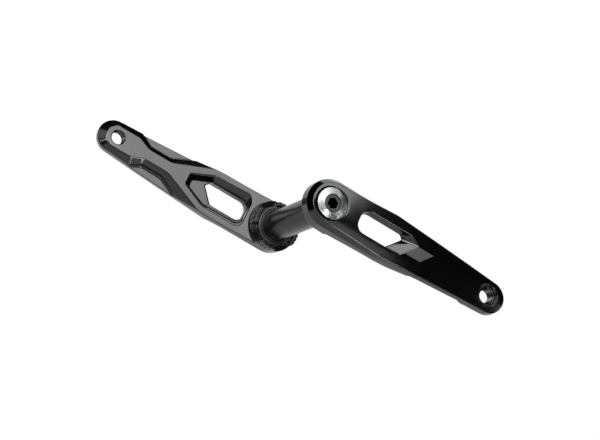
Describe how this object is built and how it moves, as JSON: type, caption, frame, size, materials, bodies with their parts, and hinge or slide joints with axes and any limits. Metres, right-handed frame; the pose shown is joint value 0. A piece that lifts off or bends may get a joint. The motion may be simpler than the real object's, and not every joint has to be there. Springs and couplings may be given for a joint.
{
  "type": "bicycle crankset",
  "caption": "Two opposed black crank arms clamped to a hollow spindle, with pedal eyes, slotted windows and a castellated crown that takes a chainring.",
  "frame": {"origin": "on the spindle axis, in the middle plane between the two arms", "axes": "+X along the non-drive arm from the spindle to its pedal eye, +Y along the spindle from the non-drive arm to the drive arm, +Z square to both"},
  "size_m": [0.389, 0.17, 0.0486],
  "materials": {
    "black_arm": "black anodised, satin",
    "dark_spindle": "dark anodised, fine turned",
    "bolt_steel": "dark plated steel",
    "slick_plastic": "plain",
    "silver_cap": "bright turned"
  },
  "bodies": {
    "root": {"drive_arm": "black_arm", "non_drive_arm": "black_arm", "spindle": "dark_spindle", "crank_bolt": "bolt_steel", "bolt_washer": "bolt_steel", "glide_ring": "slick_plastic", "extractor_cap": "silver_cap"}
  },
  "joints": []
}
